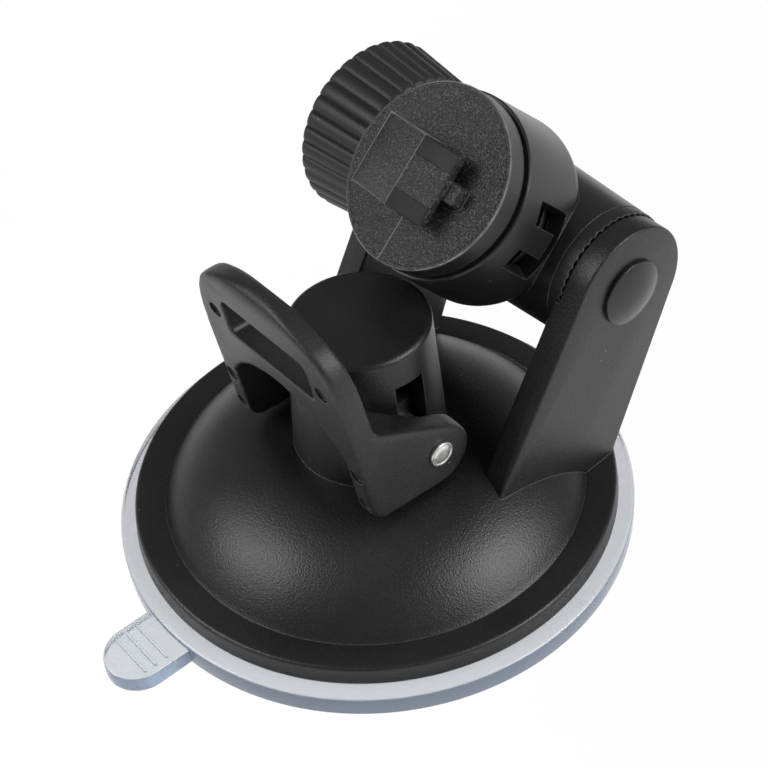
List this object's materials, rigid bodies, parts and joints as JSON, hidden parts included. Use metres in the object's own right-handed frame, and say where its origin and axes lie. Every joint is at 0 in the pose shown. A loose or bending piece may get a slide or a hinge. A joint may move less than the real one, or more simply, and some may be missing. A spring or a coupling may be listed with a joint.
{
  "type": "dash camera suction mount",
  "caption": "Windscreen suction mount for a dash camera: clear cup, locking lever, domed base with hinge arms, clamp knob and a tilting head with a hooked swivel foot.",
  "frame": {"origin": "centre of the suction cup's flat underside", "axes": "+Z out of the cup towards the post, -Y towards the locking lever and pull tab, hinge bolt and lever pin along X with the clamp knob at -X"},
  "size_m": [0.066, 0.0796, 0.0543],
  "materials": {
    "clear_pvc": "clear soft vinyl, milky edge",
    "natural_plastic": "natural acetal",
    "black_plastic": "satin black with a fine moulded grain",
    "cap_plastic": "semi-gloss black",
    "spring_steel": "plain spring steel",
    "plated_steel": "bright zinc plate",
    "insert_brass": "plain",
    "soft_rubber": "matt"
  },
  "bodies": {
    "base": {"suction_cup": "clear_pvc", "base_housing": "black_plastic", "hinge_bolt": "plated_steel", "bolt_cap": "cap_plastic", "hinge_sleeve": "plated_steel", "knob_washer": "plated_steel"},
    "stem": {"plunger_stem": "black_plastic", "cup_core": "natural_plastic", "stem_spring": "spring_steel", "lever_pin": "plated_steel", "pin_clip": "spring_steel"},
    "lever": {"lever": "black_plastic"},
    "head": {"head_housing": "black_plastic", "tooth_ring_left": "black_plastic", "tooth_ring_right": "black_plastic", "wave_washer": "spring_steel", "friction_ring": "soft_rubber"},
    "swivel": {"swivel_disc": "black_plastic"},
    "knob": {"knob": "black_plastic", "knob_nut": "insert_brass"}
  },
  "joints": [
    {"name": "stem_lift", "type": "slide", "parent": "base", "child": "stem", "axis": [0, 0, 1], "range_m": [0, 0.00681], "deforming": ["stem_spring"]},
    {"name": "lever_fold", "type": "hinge", "parent": "stem", "child": "lever", "pos_m": [0, 0, 0.0195], "axis": [1, 0, 0], "range_deg": [0, 78]},
    {"name": "head_tilt", "type": "hinge", "parent": "base", "child": "head", "pos_m": [0, 0.0262, 0.03167], "axis": [1, 0, 0], "range_deg": [-160, 1]},
    {"name": "disc_turn", "type": "hinge", "parent": "head", "child": "swivel", "pos_m": [0, 0.0117, 0.04668], "axis": [0, -0.6756, 0.7373], "continuous": true},
    {"name": "knob_turn", "type": "hinge", "parent": "base", "child": "knob", "pos_m": [-0.0192, 0.0262, 0.03167], "axis": [1, 0, 0], "continuous": true}
  ],
  "couplings": [
    {"joint": "stem_lift", "follows": "lever_fold", "m_per_rad": 0.004995}
  ]
}
